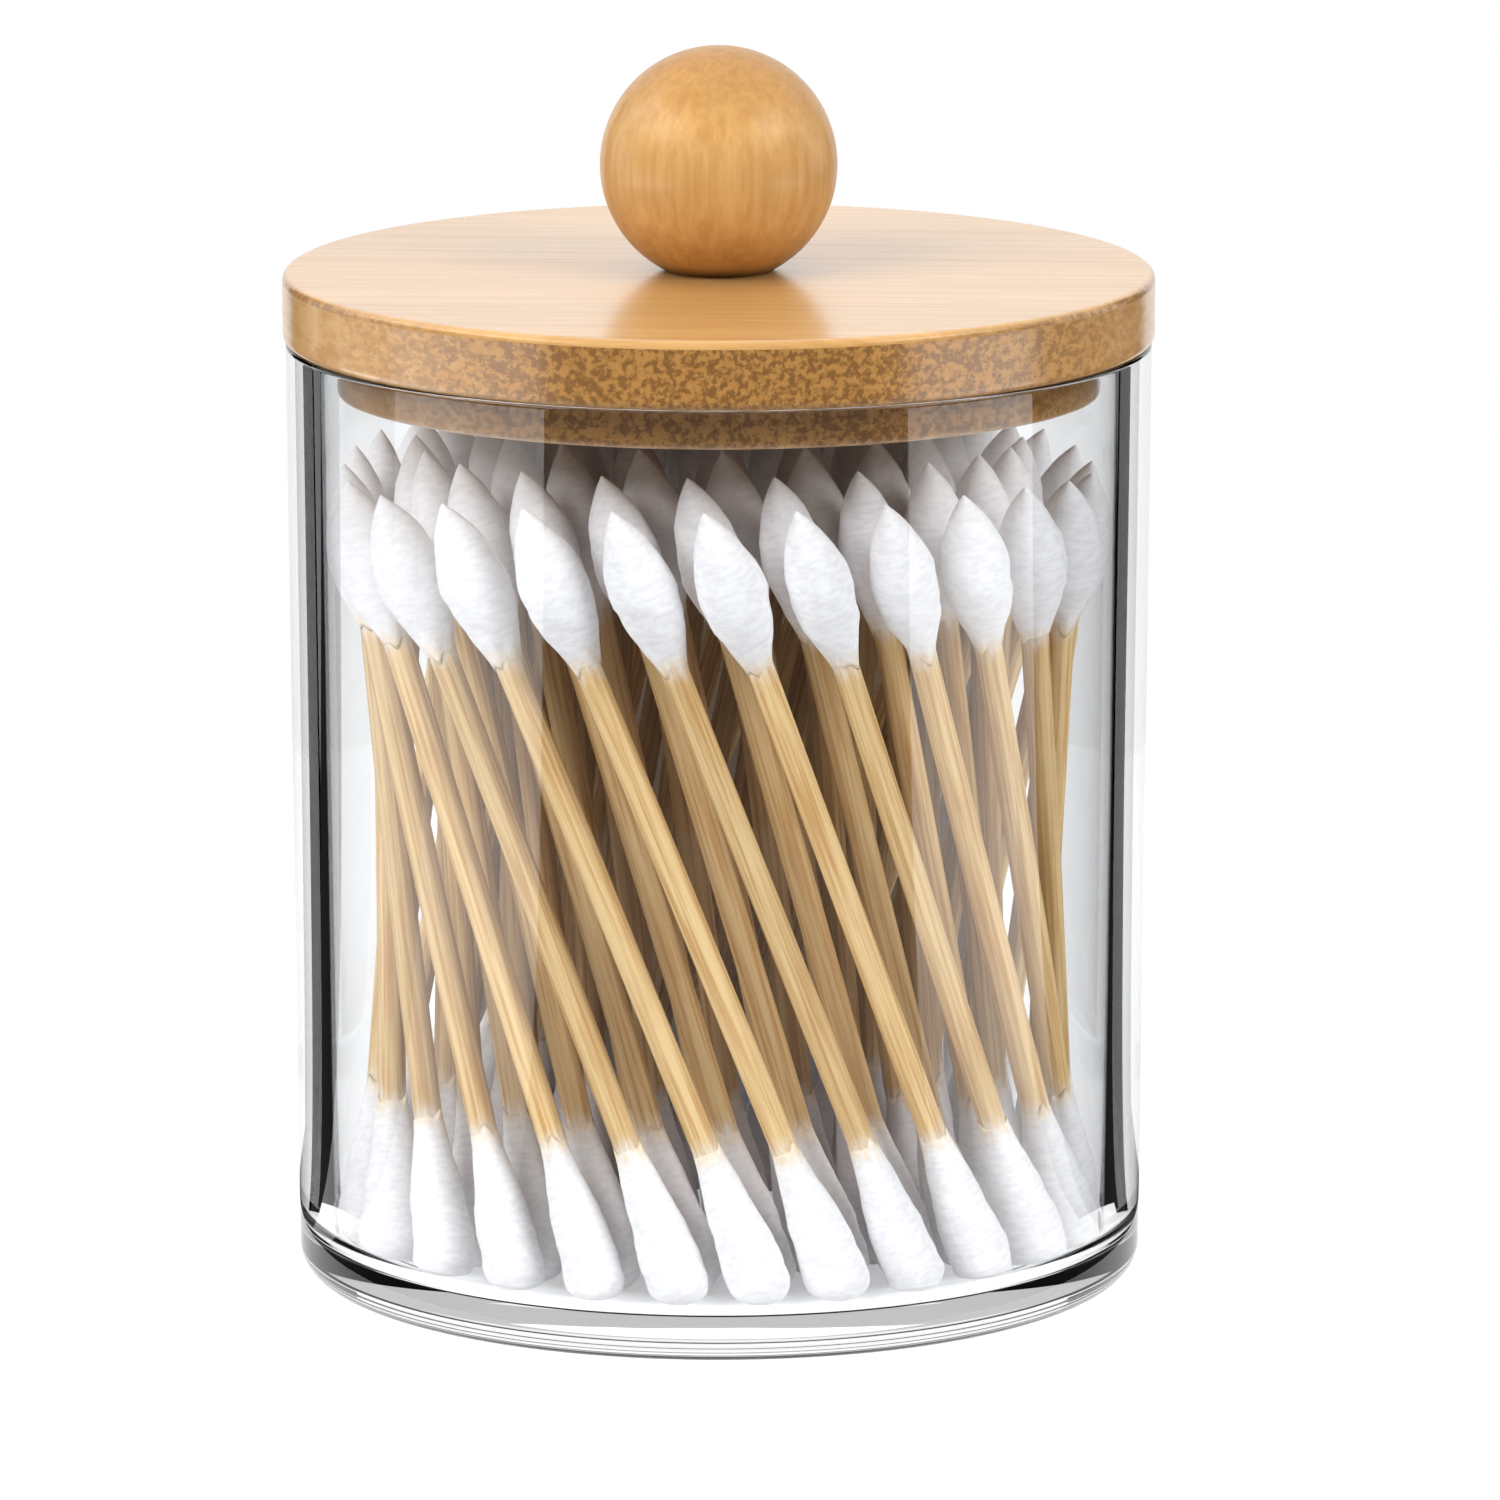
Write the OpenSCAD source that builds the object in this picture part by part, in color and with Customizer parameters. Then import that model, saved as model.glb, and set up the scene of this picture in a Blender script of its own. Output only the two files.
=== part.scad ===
// Cotton swab holder: a clear drafted jar holds a twisted sheaf of wooden swabs and is closed by a
// loose wooden lid with a ball knob. Millimetres, +Z up, origin at the middle of the foot.

/* [Swabs] */
// Length of a swab from end to end
swab_l = 75; // [65:0.5:90]
// Diameter of the wooden stick
stick_d = 2.3; // [1.8:0.1:3]
// Widest diameter of the pointed bud
point_d = 5.6; // [4.5:0.1:7]
// Length of the pointed bud from its point to the widest section
point_tip_l = 8; // [5:0.25:11]
// Length of the pointed bud from the widest section to the stick
point_neck_l = 6.5; // [4:0.25:10]
// Widest diameter of the rounded bud
drop_d = 5.2; // [4.5:0.1:7]
// Length of the rounded bud from the widest section to the stick
drop_neck_l = 12; // [7:0.25:16]
// Thickness of the cotton where a bud runs out on the stick
wrap_t = 0.1; // [0.05:0.05:0.4]

/* [Sheaf] */
// Rings of swabs, counted from the wall
rings = 4; // [2:1:4]
// Angle between the foot and the head of a swab in the outer ring, seen from above
twist = 44; // [20:1:60]
// How much less each further ring is twisted
twist_fall = 2; // [0:0.5:6]
// Largest change of the twist round the sheaf
sway = 4; // [0:0.5:8]
// Least gap between neighbouring buds
bud_gap = 0.4; // [0.3:0.1:2]
// Gap between a bud and the wall that it leans on
lean_gap = 0.2; // [0.1:0.05:0.5]
// Gap between a bud and the floor that it rests on
rest_gap = 0.1; // [0.05:0.05:0.3]

/* [Jar] */
// Outside diameter at the rim
jar_d = 76; // [68:0.5:100]
// Thickness of the wall
wall_t = 3; // [1.5:0.1:5]
// Thickness of the floor
floor_t = 3.5; // [2:0.1:8]
// Draft of the wall on each side, in degrees
draft = 0.5; // [0:0.1:2]
// Radius of the outer edge of the foot
foot_edge_r = 2.5; // [0.5:0.1:4]
// Radius between the floor and the inside of the wall
floor_fillet_r = 2.5; // [0.5:0.1:5]
// Width of the ring that the jar stands on
foot_ring_w = 4; // [2:0.25:10]
// Height of the hollow inside that ring
foot_hollow_h = 0.6; // [0.2:0.1:1.2]
// Radius of the edges of the rim
rim_edge_r = 0.6; // [0.2:0.1:0.7]
// Space between an upright swab and the lid
head_room = 1; // [0.5:0.25:15]

/* [Lid] */
// How far the lid reaches past the rim
lid_overhang = 0.25; // [0:0.05:3]
// Thickness of the disc
lid_t = 6; // [3:0.25:14]
// Radius of the edges of the disc
lid_edge_r = 0.7; // [0.2:0.1:1.4]
// Height of the plug below the disc
plug_h = 4; // [2:0.25:12]
// Gap between the plug and the inside of the rim
plug_gap = 1.5; // [0.4:0.1:4]
// Radius of the lower edge of the plug
plug_edge_r = 0.6; // [0.2:0.1:0.9]

/* [Knob] */
// Diameter of the ball
knob_d = 20.8; // [14:0.2:40]
// Diameter of the flat that the ball stands on
knob_flat_d = 9.2; // [5:0.2:12]
// Diameter of the screw
screw_d = 3.5; // [2.5:0.1:4.5]
// Diameter of the countersunk head
screw_head_d = 7; // [5:0.1:9]
// Length of the screw inside the ball
screw_grip_l = 8; // [5:0.5:12]
// Length of the screw's tapered point
screw_point_l = 3; // [1:0.5:4]
// Gap round the screw
screw_gap = 0.1; // [0.05:0.05:0.3]
// Length of each slot of the cross in the head
cross_l = 4; // [2:0.1:4.5]
// Width of each slot of the cross
cross_w = 0.9; // [0.5:0.1:1.2]
// Depth of the cross
cross_h = 1.2; // [0.5:0.1:1.5]

/* [Hidden] */
$fn = 96;
// Overrun of a cut past the face that it opens
over = 1;

// Heights of the jar and the lid, which leave room for an upright swab under the plug
jar_h = floor_t + swab_l + head_room + plug_h;
plug_z = jar_h - plug_h;
lid_top = jar_h + lid_t;

// Radii of the jar
jar_r = jar_d / 2;
foot_r = jar_r - jar_h * tan(draft);
mouth_r = jar_r - wall_t;
floor_r = mouth_r - (jar_h - floor_t) * tan(draft);
foot_hollow_r = foot_r - foot_edge_r - foot_ring_w;

// The lid, its knob and the screw
lid_r = jar_r + lid_overhang;
plug_r = mouth_r - plug_gap;
knob_r = knob_d / 2;
knob_z = lid_top + sqrt(knob_r ^ 2 - (knob_flat_d / 2) ^ 2);
screw_head_h = (screw_head_d - screw_d) / 2;
screw_l = plug_h + lid_t + screw_grip_l;

// Radii of a swab, and the arc from its widest section to its point
stick_r = stick_d / 2;
point_r = point_d / 2;
drop_r = drop_d / 2;
wrap_r = stick_r + wrap_t;
tip_arc_r = arc_radius(point_tip_l, point_r);

// A swab stands on the middle of its rounded bud and leans on the widest section of its pointed bud
shoulder_l = swab_l - drop_r - point_tip_l;
foot_z = floor_t + drop_r + rest_gap;

// The foot keeps off the fillet, and the head keeps off the wall although its point leans outwards
foot_ring_r = floor_r - max(drop_r, floor_fillet_r) - lean_gap;
steepest = lean(foot_ring_r, foot_ring_r, twist + sway);
outward = sin(steepest) * sin((twist + sway) / 2);
head_bulge = tip_arc_r * outward ^ 2 / 2;
head_wall_r = floor_r + shoulder_l * cos(steepest) * tan(draft);
head_ring_r = head_wall_r - point_r - head_bulge - lean_gap;
ring_step = max(point_d, drop_d) + bud_gap;

// Two waves round the sheaf vary the twist, and the share by which they crowd the heads or the feet
slow_waves = 2;
fast_waves = 5;
slow_share = 0.8;
fast_share = 1 - slow_share;
crowding = (slow_waves * slow_share + fast_waves * fast_share) * sway / 2 * PI / 180;

// Each ring holds as many swabs as have room side by side, and starts at an angle of its own
phase_step = 7;
ring_counts = [for (k = [0 : rings - 1]) ring_room(k)];
swabs = [for (k = [0 : rings - 1]) for (i = [0 : 1 : ring_counts[k] - 1]) [k, i]];

// The first swabs are a node each, and those deepest in the sheaf share one
lone_swabs = 51;
swab_nodes = [for (n = [1 : len(swabs)]) n > lone_swabs ? "core_swabs" : str("swab_", n < 10 ? "0" : "", n)];

// Radius of an arc that falls by the drop over the length and starts parallel to the axis
function arc_radius(length, drop) = (length ^ 2 + drop ^ 2) / (2 * drop);

// Distance between two points given by radius, and the angle between them
function chord(r1, r2, angle) = sqrt(r1 ^ 2 + r2 ^ 2 - 2 * r1 * r2 * cos(angle));

// Angle from upright of a swab whose foot and shoulder lie at these radii
function lean(r1, r2, angle) = asin(chord(r1, r2, angle) / shoulder_l);

// Number of swabs that fit side by side in ring k, counted from the wall
function ring_room(k) =
    let (r = min(foot_ring_r, head_ring_r) - k * ring_step,
         width = ring_step / cos(lean(r, r, ring_twist(k) + sway)))
    floor(2 * PI * r * (1 - crowding) / width);

// Middle twist of ring k
function ring_twist(k) = twist - k * twist_fall;

// Change of twist at an angle round the sheaf
function twist_change(angle) =
    sway * (slow_share * sin(slow_waves * angle) + fast_share * sin(fast_waves * angle));

function ring_point(r, angle, z) = [r * cos(angle), r * sin(angle), z];

// Foot and shoulder of swab i in ring k; the head trails the foot by the twist
function swab_ends(k, i) =
    let (middle = k * phase_step + 360 * i / ring_counts[k],
         turn = ring_twist(k) + twist_change(middle),
         r1 = foot_ring_r - k * ring_step,
         r2 = head_ring_r - k * ring_step,
         rise = shoulder_l * cos(lean(r1, r2, turn)))
    [ring_point(r1, middle + turn / 2, foot_z), ring_point(r2, middle - turn / 2, foot_z + rise)];

// Half outline of a bud that falls from wide_r to end_r over the length, along one arc
module ogive(wide_r, end_r, length) {
    arc_r = arc_radius(length, wide_r - end_r);
    intersection() {
        translate([wide_r - arc_r, 0]) circle(arc_r);
        square([wide_r, length]);
    }
}

// Waste outside a round of radius r, at a corner whose material lies at -X and -Y
module round_off(r) {
    translate([-r, -r]) difference() {
        square(2 * r);
        circle(r);
    }
}

// Half outline of a drafted cup or hollow that stands on y = 0 with a rounded lower edge
module drafted_outline(base_r, edge_r, height) {
    round_x = base_r - edge_r * (1 - sin(draft)) / cos(draft);
    translate([round_x, edge_r]) circle(edge_r);
    polygon([
        [0, 0],
        [round_x, 0],
        [round_x + edge_r * cos(draft), edge_r * (1 - sin(draft))],
        [base_r + height * tan(draft), height],
        [0, height],
    ]);
}

module jar() {
    color([0.88, 0.93, 0.95, 0.35])
    rotate_extrude() difference() {
        drafted_outline(foot_r, foot_edge_r, jar_h);
        translate([0, floor_t]) drafted_outline(floor_r, floor_fillet_r, jar_h - floor_t + over);
        polygon([
            [0, -over],
            [foot_hollow_r, -over],
            [foot_hollow_r, 0],
            [foot_hollow_r - foot_hollow_h, foot_hollow_h],
            [0, foot_hollow_h],
        ]);
        translate([jar_r, jar_h]) round_off(rim_edge_r);
        translate([mouth_r, jar_h]) mirror([1, 0]) round_off(rim_edge_r);
    }
}

module lid() {
    hole_d = screw_d + 2 * screw_gap;
    color([0.82, 0.66, 0.44]) difference() {
        rotate_extrude() difference() {
            union() {
                translate([0, jar_h]) square([lid_r, lid_t]);
                translate([0, plug_z]) square([plug_r, plug_h + lid_t / 2]);
            }
            translate([lid_r, lid_top]) round_off(lid_edge_r);
            translate([lid_r, jar_h]) mirror([0, 1]) round_off(lid_edge_r);
            translate([plug_r, plug_z]) mirror([0, 1]) round_off(plug_edge_r);
        }
        translate([0, 0, plug_z - over]) cylinder(d = hole_d, h = plug_h + lid_t + 2 * over);
        translate([0, 0, plug_z])
            cylinder(d1 = screw_head_d + 2 * screw_gap, d2 = hole_d, h = screw_head_h);
    }
}

module knob() {
    color([0.86, 0.70, 0.47]) difference() {
        intersection() {
            translate([0, 0, knob_z]) sphere(d = knob_d);
            translate([-knob_d, -knob_d, lid_top]) cube(2 * knob_d);
        }
        translate([0, 0, lid_top - over])
            cylinder(d = screw_d + 2 * screw_gap, h = screw_grip_l + screw_gap + over);
    }
}

module knob_screw() {
    color([0.72, 0.72, 0.74])
    translate([0, 0, plug_z]) difference() {
        rotate_extrude() polygon([
            [0, 0],
            [screw_head_d / 2, 0],
            [screw_d / 2, screw_head_h],
            [screw_d / 2, screw_l - screw_point_l],
            [0, screw_l],
        ]);
        for (angle = [0, 90])
            rotate(angle) translate([-cross_l / 2, -cross_w / 2, -over])
                cube([cross_l, cross_w, cross_h + over]);
    }
}

// Cotton bud with a point at the top, its widest section on z = 0
module pointed_bud() {
    color([0.97, 0.97, 0.96]) rotate_extrude() {
        ogive(point_r, 0, point_tip_l);
        mirror([0, 1]) ogive(point_r, wrap_r, point_neck_l);
    }
}

// Cotton bud with a round end at the bottom, its widest section on z = 0
module rounded_bud() {
    color([0.97, 0.97, 0.96]) rotate_extrude() {
        ogive(drop_r, wrap_r, drop_neck_l);
        intersection() {
            circle(drop_r);
            translate([0, -drop_r]) square(drop_r);
        }
    }
}

module stick() {
    color([0.88, 0.76, 0.56]) cylinder(d = stick_d, h = shoulder_l);
}

// Swab i of ring k, from its foot up along its own lean
module swab(k, i) {
    ends = swab_ends(k, i);
    way = ends[1] - ends[0];
    translate(ends[0]) rotate([0, acos(way.z / shoulder_l), atan2(way.y, way.x)]) {
        stick();
        rounded_bud();
        translate([0, 0, shoulder_l]) pointed_bud();
    }
}

jar();
lid();
knob();
knob_screw();
for (n = [0 : len(swabs) - 1])
    swab(swabs[n][0], swabs[n][1]);
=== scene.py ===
"""Looks of a cotton swab holder: a clear moulded jar, a turned bamboo lid with a ball knob, and a twisted
sheaf of swabs with wound cotton buds. Everything is in metres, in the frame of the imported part."""

import math
from functools import reduce

import bpy
import numpy as np
from bpy.props import FloatProperty, FloatVectorProperty, IntProperty, PointerProperty
from bpy.types import Operator, Panel, PropertyGroup
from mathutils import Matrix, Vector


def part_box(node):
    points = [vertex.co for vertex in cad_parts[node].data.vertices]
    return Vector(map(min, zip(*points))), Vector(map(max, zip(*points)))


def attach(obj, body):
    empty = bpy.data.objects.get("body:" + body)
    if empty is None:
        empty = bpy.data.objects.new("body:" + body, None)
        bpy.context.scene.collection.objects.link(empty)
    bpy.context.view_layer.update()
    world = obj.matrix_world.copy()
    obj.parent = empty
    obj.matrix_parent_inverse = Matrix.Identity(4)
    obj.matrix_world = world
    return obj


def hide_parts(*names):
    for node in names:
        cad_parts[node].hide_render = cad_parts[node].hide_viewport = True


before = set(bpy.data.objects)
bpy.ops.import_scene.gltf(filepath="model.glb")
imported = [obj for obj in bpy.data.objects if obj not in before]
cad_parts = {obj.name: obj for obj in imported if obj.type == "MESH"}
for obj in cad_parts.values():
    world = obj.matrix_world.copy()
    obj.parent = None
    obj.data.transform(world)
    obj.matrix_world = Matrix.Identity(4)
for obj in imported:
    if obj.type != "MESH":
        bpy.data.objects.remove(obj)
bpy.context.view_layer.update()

bl_info = {
    "name": "Cotton swab holder",
    "version": (1, 0, 0),
    "blender": (4, 5, 0),
    "location": "3D View > Sidebar > Swab holder",
    "description": "Dresses a swab jar with clear plastic, turned bamboo and wound cotton",
    "category": "Object",
}

MM = 0.001
SWAB_NODES = sorted(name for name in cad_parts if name.startswith("swab_"))
CORE_NODE = "core_swabs"
JAR_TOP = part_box("jar")[1]
LID_LOW, LID_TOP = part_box("lid")
KNOB_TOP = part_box("knob")[1]
SCREW_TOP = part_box("knob_screw")[1]


def length(label, words, millimetres):
    """A size in metres that a user can change."""
    return FloatProperty(
        name=label, description=words, default=millimetres * MM, min=0.0, unit="LENGTH", precision=5
    )


def share(label, words, value):
    """A number that a user can change."""
    return FloatProperty(name=label, description=words, default=value, min=0.0, precision=3)


def angle(label, words, degrees):
    """An angle that a user can change."""
    return FloatProperty(name=label, description=words, default=math.radians(degrees), subtype="ANGLE")


def amount(label, words, value):
    """A count that a user can change."""
    return IntProperty(name=label, description=words, default=value, min=3)


def tint(label, words, red, green, blue):
    """A colour that a user can change, written as it looks on a screen, from 0 to 255."""
    screen = np.array([red, green, blue]) / 255
    linear = np.where(screen > 0.04045, ((screen + 0.055) / 1.055) ** 2.4, screen / 12.92)
    return FloatVectorProperty(
        name=label, description=words, default=linear.tolist(), size=3, subtype="COLOR", min=0.0, max=1.0
    )


class JarSizes(PropertyGroup):
    wall: length("Wall", "Thickness of the wall", 3)
    floor: length("Floor", "Thickness of the floor", 3.5)
    draft: angle("Draft", "Draft of the wall on each side", 0.5)
    foot_edge: length("Foot edge", "Radius of the outer edge of the foot", 2.5)
    fillet: length("Fillet", "Radius between the floor and the inside of the wall", 2.5)
    foot_ring: length("Foot ring", "Width of the ring that the jar stands on", 4)
    foot_hollow: length("Foot hollow", "Height of the hollow inside that ring", 0.6)
    rim_edge: length("Rim edge", "Radius of the edges of the rim", 0.35)
    turns: amount("Steps", "Steps round the jar", 256)


class LidSizes(PropertyGroup):
    edge: length("Edge", "Radius of the edges of the disc", 0.7)
    ply: length("Face ply", "Thickness of the face ply", 0.7)
    grain: angle("Grain", "Way of the core's fibres", -6)
    face_grain: angle("Face grain", "Way of the face ply's fibres", 94)
    plug_gap: length("Plug gap", "Gap between the plug and the inside of the rim", 1.5)
    plug_edge: length("Plug edge", "Radius of the lower edge of the plug", 0.6)
    hole: length("Hole", "Diameter of the hole for the screw", 3.7)
    sink: length("Countersink", "Diameter of the countersink", 7.2)
    turns: amount("Steps", "Steps round the lid", 256)


class KnobSizes(PropertyGroup):
    flat: length("Flat", "Diameter of the flat that the ball stands on", 9.2)
    hole: length("Hole", "Diameter of the hole for the screw", 3.7)
    turns: amount("Steps", "Steps round the ball", 160)


class SwabSizes(PropertyGroup):
    stick: length("Stick", "Diameter of the wooden stick", 2.3)
    point: length("Pointed bud", "Widest diameter of the pointed bud", 5.6)
    point_tip: length("Point", "Length from the point to the widest section", 8)
    point_neck: length("Pointed neck", "Length from the widest section to the stick", 6.5)
    point_blunt: length("Blunting", "How much the winding rounds the point", 0.12)
    drop: length("Rounded bud", "Widest diameter of the rounded bud", 5.2)
    drop_neck: length("Rounded neck", "Length from the widest section to the stick", 12)
    wrap: length("Wrap", "Thickness of the cotton at the end of a bud", 0.06)
    feather: length("Feathering", "How far the end of the cotton wanders along the stick", 0.6)
    fade: length("Fading", "How far wisps of cotton cover the stick past a bud", 2.6)
    relief: length("Relief", "Height of the lumps in the cotton", 0.07)
    # Painted shade: how far the innermost swabs are darkened towards the inner tint, standing in for the
    # shade deep in the sheaf
    shade: share("Inner shade", "How far the innermost swabs take the inner tint", 0.42)
    fibre: length("Fibre", "Length of the loose fibres", 0.7)
    fibre_width: length("Fibre width", "Width of the loose fibres", 0.018)
    fibres: amount("Fibres", "Loose fibres on each bud", 44)
    seed: amount("Seed", "Start of the random draws", 7)


class FinishSettings(PropertyGroup):
    bamboo_face: tint("Bamboo face", "Pale bamboo between the fibres", 208, 163, 102)
    bamboo_vein: tint("Bamboo vein", "Darker veins along the bamboo", 184, 133, 72)
    bamboo_end: tint("Bamboo end", "Bamboo cut across its fibres", 174, 124, 60)
    bamboo_fibre: tint("Bamboo fibre", "Fibre bundles of the bamboo", 108, 70, 30)
    stick_face: tint("Stick", "Pale wood of the sticks", 238, 207, 152)
    stick_vein: tint("Stick vein", "Darker streaks of the sticks", 204, 158, 98)
    # Painted shade: the colour that swabs deep in the sheaf are multiplied towards, standing in for the
    # shade between them
    inner: tint("Inner tint", "Tint of the swabs deep in the sheaf", 150, 122, 110)
    cotton: tint("Cotton", "Cotton of the buds", 247, 247, 248)
    # Painted shade: the cotton is this little darker in the hollows between the windings
    cotton_shade: tint("Cotton hollow", "Cotton between the windings", 236, 235, 238)
    steel: tint("Steel", "Steel of the screw", 196, 198, 202)
    clear: tint("Clear plastic", "Tint of the clear plastic", 252, 253, 254)


class StudioSettings(PropertyGroup):
    lens: share("Lens", "Focal length on a 36 mm sensor, in millimetres", 281.1)
    camera: FloatVectorProperty(
        name="Camera",
        description="Place of the camera",
        default=(0.0, -1.014, 0.2537),
        subtype="TRANSLATION",
    )
    pitch: angle("Pitch", "How far the camera looks down", 11.548)
    yaw: angle("Yaw", "How far the camera looks to the right", 0.1545)
    ambient: share("Ambient", "Strength of the light from all round", 0.18)
    left: share("Left light", "Power of the left soft light, in watts", 9.8)
    right: share("Right light", "Power of the right soft light, in watts", 6.4)
    top: share("Top light", "Power of the soft light above, in watts", 2.8)
    glow: share("Glow", "Brightness of the soft lights in reflections", 3.0)


class HolderSettings(PropertyGroup):
    jar: PointerProperty(type=JarSizes)
    lid: PointerProperty(type=LidSizes)
    knob: PointerProperty(type=KnobSizes)
    swab: PointerProperty(type=SwabSizes)
    finish: PointerProperty(type=FinishSettings)
    studio: PointerProperty(type=StudioSettings)


def settings():
    """The settings of the holder in the current scene."""
    return bpy.context.scene.swab_holder


def maths(operation, swapped=False):
    """A method that adds a Math node to a field's recipe. Swapped, the field comes last."""

    def method(self, *others):
        values = (*others, self) if swapped else (self, *others)
        return self.recipe.node("ShaderNodeMath", {"operation": operation}, dict(enumerate(values)))

    return method


class Field:
    """The value of a socket in a recipe. Arithmetic on it adds Math nodes. Whole rounds it down, and most
    takes the larger of two values."""

    __add__ = maths("ADD")
    __radd__ = maths("ADD", True)
    __sub__ = maths("SUBTRACT")
    __rsub__ = maths("SUBTRACT", True)
    __mul__ = maths("MULTIPLY")
    __rmul__ = maths("MULTIPLY", True)
    __truediv__ = maths("DIVIDE")
    __abs__ = maths("ABSOLUTE")
    whole = maths("FLOOR")
    most = maths("MAXIMUM")

    def __init__(self, recipe, socket):
        self.recipe = recipe
        self.socket = socket

    def step(self, low, high, start=0.0, end=1.0):
        """A smooth change from start to end while the value goes from low to high."""
        sockets = {"Value": self, "From Min": low, "From Max": high, "To Min": start, "To Max": end}
        return self.recipe.node("ShaderNodeMapRange", {"interpolation_type": "SMOOTHSTEP"}, sockets)


class Recipe:
    """A node tree that a finish is written into."""

    def __init__(self, owner):
        owner.use_nodes = True
        self.owner = owner
        self.tree = owner.node_tree
        self.tree.nodes.clear()

    def node(self, kind, choices=None, sockets=None, out=0):
        """Adds a node: its choices are set first, then its sockets are set or linked."""
        made = self.tree.nodes.new(kind)
        for name, value in (choices or {}).items():
            setattr(made, name, value)
        for name, value in (sockets or {}).items():
            if isinstance(value, Field):
                self.tree.links.new(value.socket, made.inputs[name])
            else:
                made.inputs[name].default_value = value
        return Field(self, made.outputs[out])

    def object_place(self):
        """The place in the object's own frame, in metres."""
        return self.node("ShaderNodeTexCoord", out="Object")

    def distance(self):
        """The distance from the middle of the foot, in metres."""
        place = {0: self.object_place()}
        return self.node("ShaderNodeVectorMath", {"operation": "LENGTH"}, place, out="Value")

    def attribute(self, name):
        """A vector kept on the points of the mesh."""
        choices = {"attribute_type": "GEOMETRY", "attribute_name": name}
        return self.node("ShaderNodeAttribute", choices, out="Vector")

    def turned(self, vector, rotation, kind="POINT"):
        """A vector turned by Euler angles."""
        sockets = {"Vector": vector, "Rotation": rotation}
        return self.node("ShaderNodeMapping", {"vector_type": kind}, sockets)

    def stretched(self, vector, scale):
        """A vector multiplied axis by axis."""
        return self.node("ShaderNodeVectorMath", {"operation": "MULTIPLY"}, {0: vector, 1: scale})

    def axes(self, vector):
        """The three parts of a vector."""
        made = self.node("ShaderNodeSeparateXYZ", None, {0: vector}).socket.node
        return [Field(self, socket) for socket in made.outputs]

    def noise(self, vector, scale, detail=3.0, rough=0.55):
        """Cloudy noise about 0.5."""
        sockets = {"Vector": vector, "Scale": scale, "Detail": detail, "Roughness": rough}
        return self.node("ShaderNodeTexNoise", {"noise_dimensions": "3D"}, sockets)

    def chance(self, number):
        """A fixed random value for each number."""
        return self.node("ShaderNodeTexWhiteNoise", {"noise_dimensions": "1D"}, {"W": number}, out="Value")

    def mixed(self, factor, first, second, kind="MIX"):
        """A blend of two colours."""
        choices = {"data_type": "RGBA", "blend_type": kind}
        return self.node("ShaderNodeMix", choices, {0: factor, 6: paint(first), 7: paint(second)}, 2)

    def blended(self, factor, first, second):
        """A blend of two vectors."""
        return self.node("ShaderNodeMix", {"data_type": "VECTOR"}, {0: factor, 4: first, 5: second}, 1)

    def grey(self, value):
        """A grey of that brightness."""
        return self.node("ShaderNodeCombineColor", None, {0: value, 1: value, 2: value})

    def relief(self, height, strength, depth):
        """A normal tilted by a height in metres times depth."""
        sockets = {"Strength": strength, "Distance": depth, "Height": height}
        return self.node("ShaderNodeBump", None, sockets)

    def surface(self, sockets):
        """The main shader."""
        return self.node("ShaderNodeBsdfPrincipled", None, sockets)

    def light_path(self, *names):
        """1 for rays of any of the named kinds."""
        made = self.node("ShaderNodeLightPath").socket.node
        return reduce(Field.most, [Field(self, made.outputs[name]) for name in names])

    def bounced(self):
        """1 for rays that were mirrored at least once on their way."""
        return self.light_path("Glossy Depth").step(0.2, 0.8)

    def shown(self, shader, kind="ShaderNodeOutputMaterial"):
        """Ends the recipe in its output."""
        output = self.tree.nodes.new(kind)
        self.tree.links.new(shader.socket, output.inputs["Surface"])
        return self.owner


def paint(colour):
    """A colour for a socket: a field as it is, or three numbers with full alpha."""
    return colour if isinstance(colour, Field) else (*tuple(colour)[:3], 1.0)


def material(name):
    """A recipe for a new material."""
    return Recipe(bpy.data.materials.new(name))


def arc(centre, radius, start, end, steps):
    """Points on a circle from one angle to another, as pairs of radius and height."""
    turn = np.linspace(start, end, steps)
    return np.column_stack([centre[0] + radius * np.cos(turn), centre[1] + radius * np.sin(turn)])


def unit(vectors):
    """The vectors at length 1."""
    return vectors / np.linalg.norm(vectors, axis=-1, keepdims=True)


def supported(profile, step, tight):
    """The profile with points added along its straight runs, close to their ends and then at every step, so
    that shading stays flat there. Lengths along the profile are sampled and read back by interpolation."""
    runs = np.linalg.norm(np.diff(profile, axis=0), axis=1)
    along = np.concatenate([[0.0], np.cumsum(runs)])
    long_run = runs > 4 * tight
    near = np.concatenate([along[:-1][long_run] + tight, along[1:][long_run] - tight])
    count = np.ceil(runs / step).astype(int)
    owner = np.repeat(np.arange(len(runs)), count)
    first = np.repeat(np.cumsum(count) - count, count)
    even = along[owner] + runs[owner] * (np.arange(count.sum()) - first) / count[owner]
    places = np.unique(np.round(np.concatenate([along, near, even]), 7))
    return np.column_stack([np.interp(places, along, profile[:, axis]) for axis in (0, 1)])


def revolved(profile, turns):
    """A grid of points: row i, column j is point i of the profile turned about +Z by j steps."""
    turn = np.linspace(0, 2 * np.pi, turns, endpoint=False)
    radius, height = profile.T
    places = np.stack([radius, radius, height], axis=-1)[:, None]
    return places * np.stack([np.cos(turn), np.sin(turn), np.ones(turns)], axis=-1)


def bands(rows, columns, closed=False):
    """Quads between neighbouring rows of a grid whose columns, and rows too if closed, join up."""
    row = np.arange(rows if closed else rows - 1)[:, None] * columns
    above = (row + columns) % (rows * columns)
    column = np.arange(columns)[None, :]
    beside = (column + 1) % columns
    return np.stack([row + column, row + beside, above + beside, above + column], axis=-1).reshape(-1, 4)


def ring_shell(grid):
    """A closed shell from a grid whose rows and columns both join up: points, quads, triangles."""
    rows, columns = grid.shape[:2]
    return grid.reshape(-1, 3), bands(rows, columns, True), np.zeros((0, 3), int)


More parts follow.
